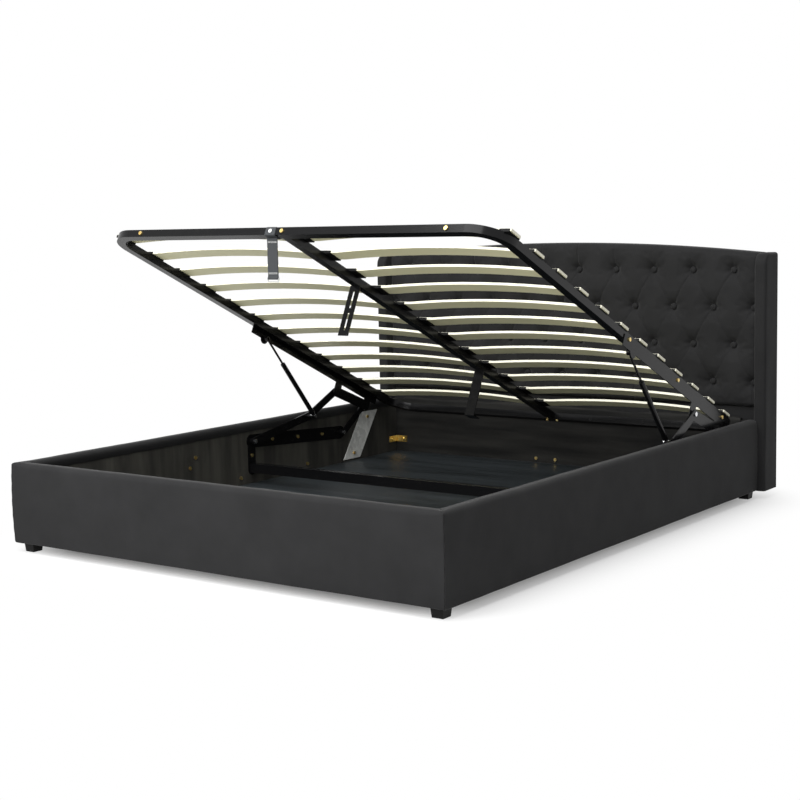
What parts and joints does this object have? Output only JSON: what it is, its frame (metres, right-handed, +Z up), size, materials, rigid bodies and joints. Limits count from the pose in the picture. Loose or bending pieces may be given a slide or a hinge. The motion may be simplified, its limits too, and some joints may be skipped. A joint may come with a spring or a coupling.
{
  "type": "ottoman bed",
  "caption": "Upholstered double ottoman bed with tufted winged headboard, storage well and a gas-lift slatted platform shown raised",
  "frame": {"origin": "on the floor, at the centre of the bed's footprint", "axes": "X across the bed, +X to the right seen from the foot; +Y from the foot to the headboard; +Z up"},
  "size_m": [1.732, 2.118, 1.0219],
  "materials": {
    "upholstery": "soft grain, satin",
    "board": "raw board",
    "black_steel": "gloss powder coat",
    "slat_wood": "clear varnish",
    "black_plastic": "moulded",
    "yellow_zinc": "yellow passivated",
    "bright_steel": "polished",
    "galvanised": "spangled zinc",
    "webbing": "woven strap",
    "cloth": "thin non-woven",
    "floor_board": "dark foil, gloss",
    "white_plastic": "moulded"
  },
  "bodies": {
    "bed_base": {"foot_rail_board": "board", "left_rail_board": "board", "right_rail_board": "board", "foot_rail_cover": "upholstery", "left_rail_cover": "upholstery", "right_rail_cover": "upholstery", "head_inner_board": "floor_board", "headboard_panel": "board", "headboard_back_cloth": "cloth", "headboard_tufted_pad": "upholstery", "headboard_buttons": "upholstery", "headboard_lower_band": "upholstery", "left_wing_board": "board", "right_wing_board": "board", "left_wing_cover": "upholstery", "right_wing_cover": "upholstery", "front_left_foot": "black_plastic", "front_right_foot": "black_plastic", "rear_left_foot": "black_plastic", "rear_right_foot": "black_plastic", "corner_brackets": "yellow_zinc", "frame_bolts": "yellow_zinc", "floor_panel_front": "floor_board", "floor_panel_rear": "floor_board", "storage_cross_beam": "black_steel", "floor_battens": "board", "left_base_bracket": "black_steel", "right_base_bracket": "black_steel", "base_pivot_pins": "bright_steel", "side_gussets": "galvanised"},
    "front_links": {"left_front_link": "black_steel", "right_front_link": "black_steel", "strut_foot_pins": "bright_steel"},
    "platform": {"left_foot_tube": "black_steel", "right_foot_tube": "black_steel", "left_head_tube": "black_steel", "right_head_tube": "black_steel", "foot_cross_tube": "black_steel", "head_cross_tube": "black_steel", "centre_rail": "black_steel", "left_slats": "slat_wood", "right_slats": "slat_wood", "side_slat_holders": "black_plastic", "centre_slat_holders": "black_plastic", "left_platform_bracket": "black_steel", "right_platform_bracket": "black_steel", "platform_bolts": "yellow_zinc", "platform_pivot_pins": "bright_steel", "front_centre_leg": "black_steel", "rear_centre_leg": "black_steel", "strap_loop": "webbing", "strap_rivet": "white_plastic"},
    "rear_links": {"left_rear_link": "black_steel", "right_rear_link": "black_steel"},
    "strut_cylinders": {"left_strut_cylinder": "black_steel", "right_strut_cylinder": "black_steel"},
    "strut_rods": {"left_strut_rod": "bright_steel", "right_strut_rod": "bright_steel"},
    "lift_strap": {"lift_strap": "webbing", "strap_ring": "bright_steel"}
  },
  "joints": [
    {"name": "front_link_hinge", "type": "hinge", "parent": "bed_base", "child": "front_links", "pos_m": [0, 0.05475, 0.21818], "axis": [1, 0, 0], "range_deg": [-20.9, 0.1]},
    {"name": "lift", "type": "hinge", "parent": "front_links", "child": "platform", "pos_m": [0, 0.5444, 0.3548], "axis": [1, 0, 0], "range_deg": [0, 46], "stiffness_Nm_per_rad": 60, "springref_deg": -171.89},
    {"name": "rear_link_hinge", "type": "hinge", "parent": "bed_base", "child": "rear_links", "pos_m": [0, 0.59533, 0.18443], "axis": [1, 0, 0], "range_deg": [-34.89, 0.1]},
    {"name": "strut_hinge", "type": "hinge", "parent": "front_links", "child": "strut_cylinders", "pos_m": [0, 0.38067, 0.27797], "axis": [1, 0, 0], "range_deg": [-0.1, 61.76]},
    {"name": "strut_slide", "type": "slide", "parent": "strut_cylinders", "child": "strut_rods", "axis": [0, -0.6348, 0.7727], "range_m": [-0.10091, 0.0002]},
    {"name": "strap_swing", "type": "hinge", "parent": "platform", "child": "lift_strap", "pos_m": [0, -0.66702, 0.9863], "axis": [1, 0, 0], "range_deg": [-26, 26]}
  ],
  "couplings": [
    {"joint": "front_link_hinge", "follows": "lift", "ratio": -0.4522},
    {"joint": "rear_link_hinge", "follows": "lift", "ratio": -0.7562},
    {"joint": "strut_hinge", "follows": "lift", "ratio": 1.3403},
    {"joint": "strut_slide", "follows": "lift", "m_per_rad": -0.12544}
  ]
}
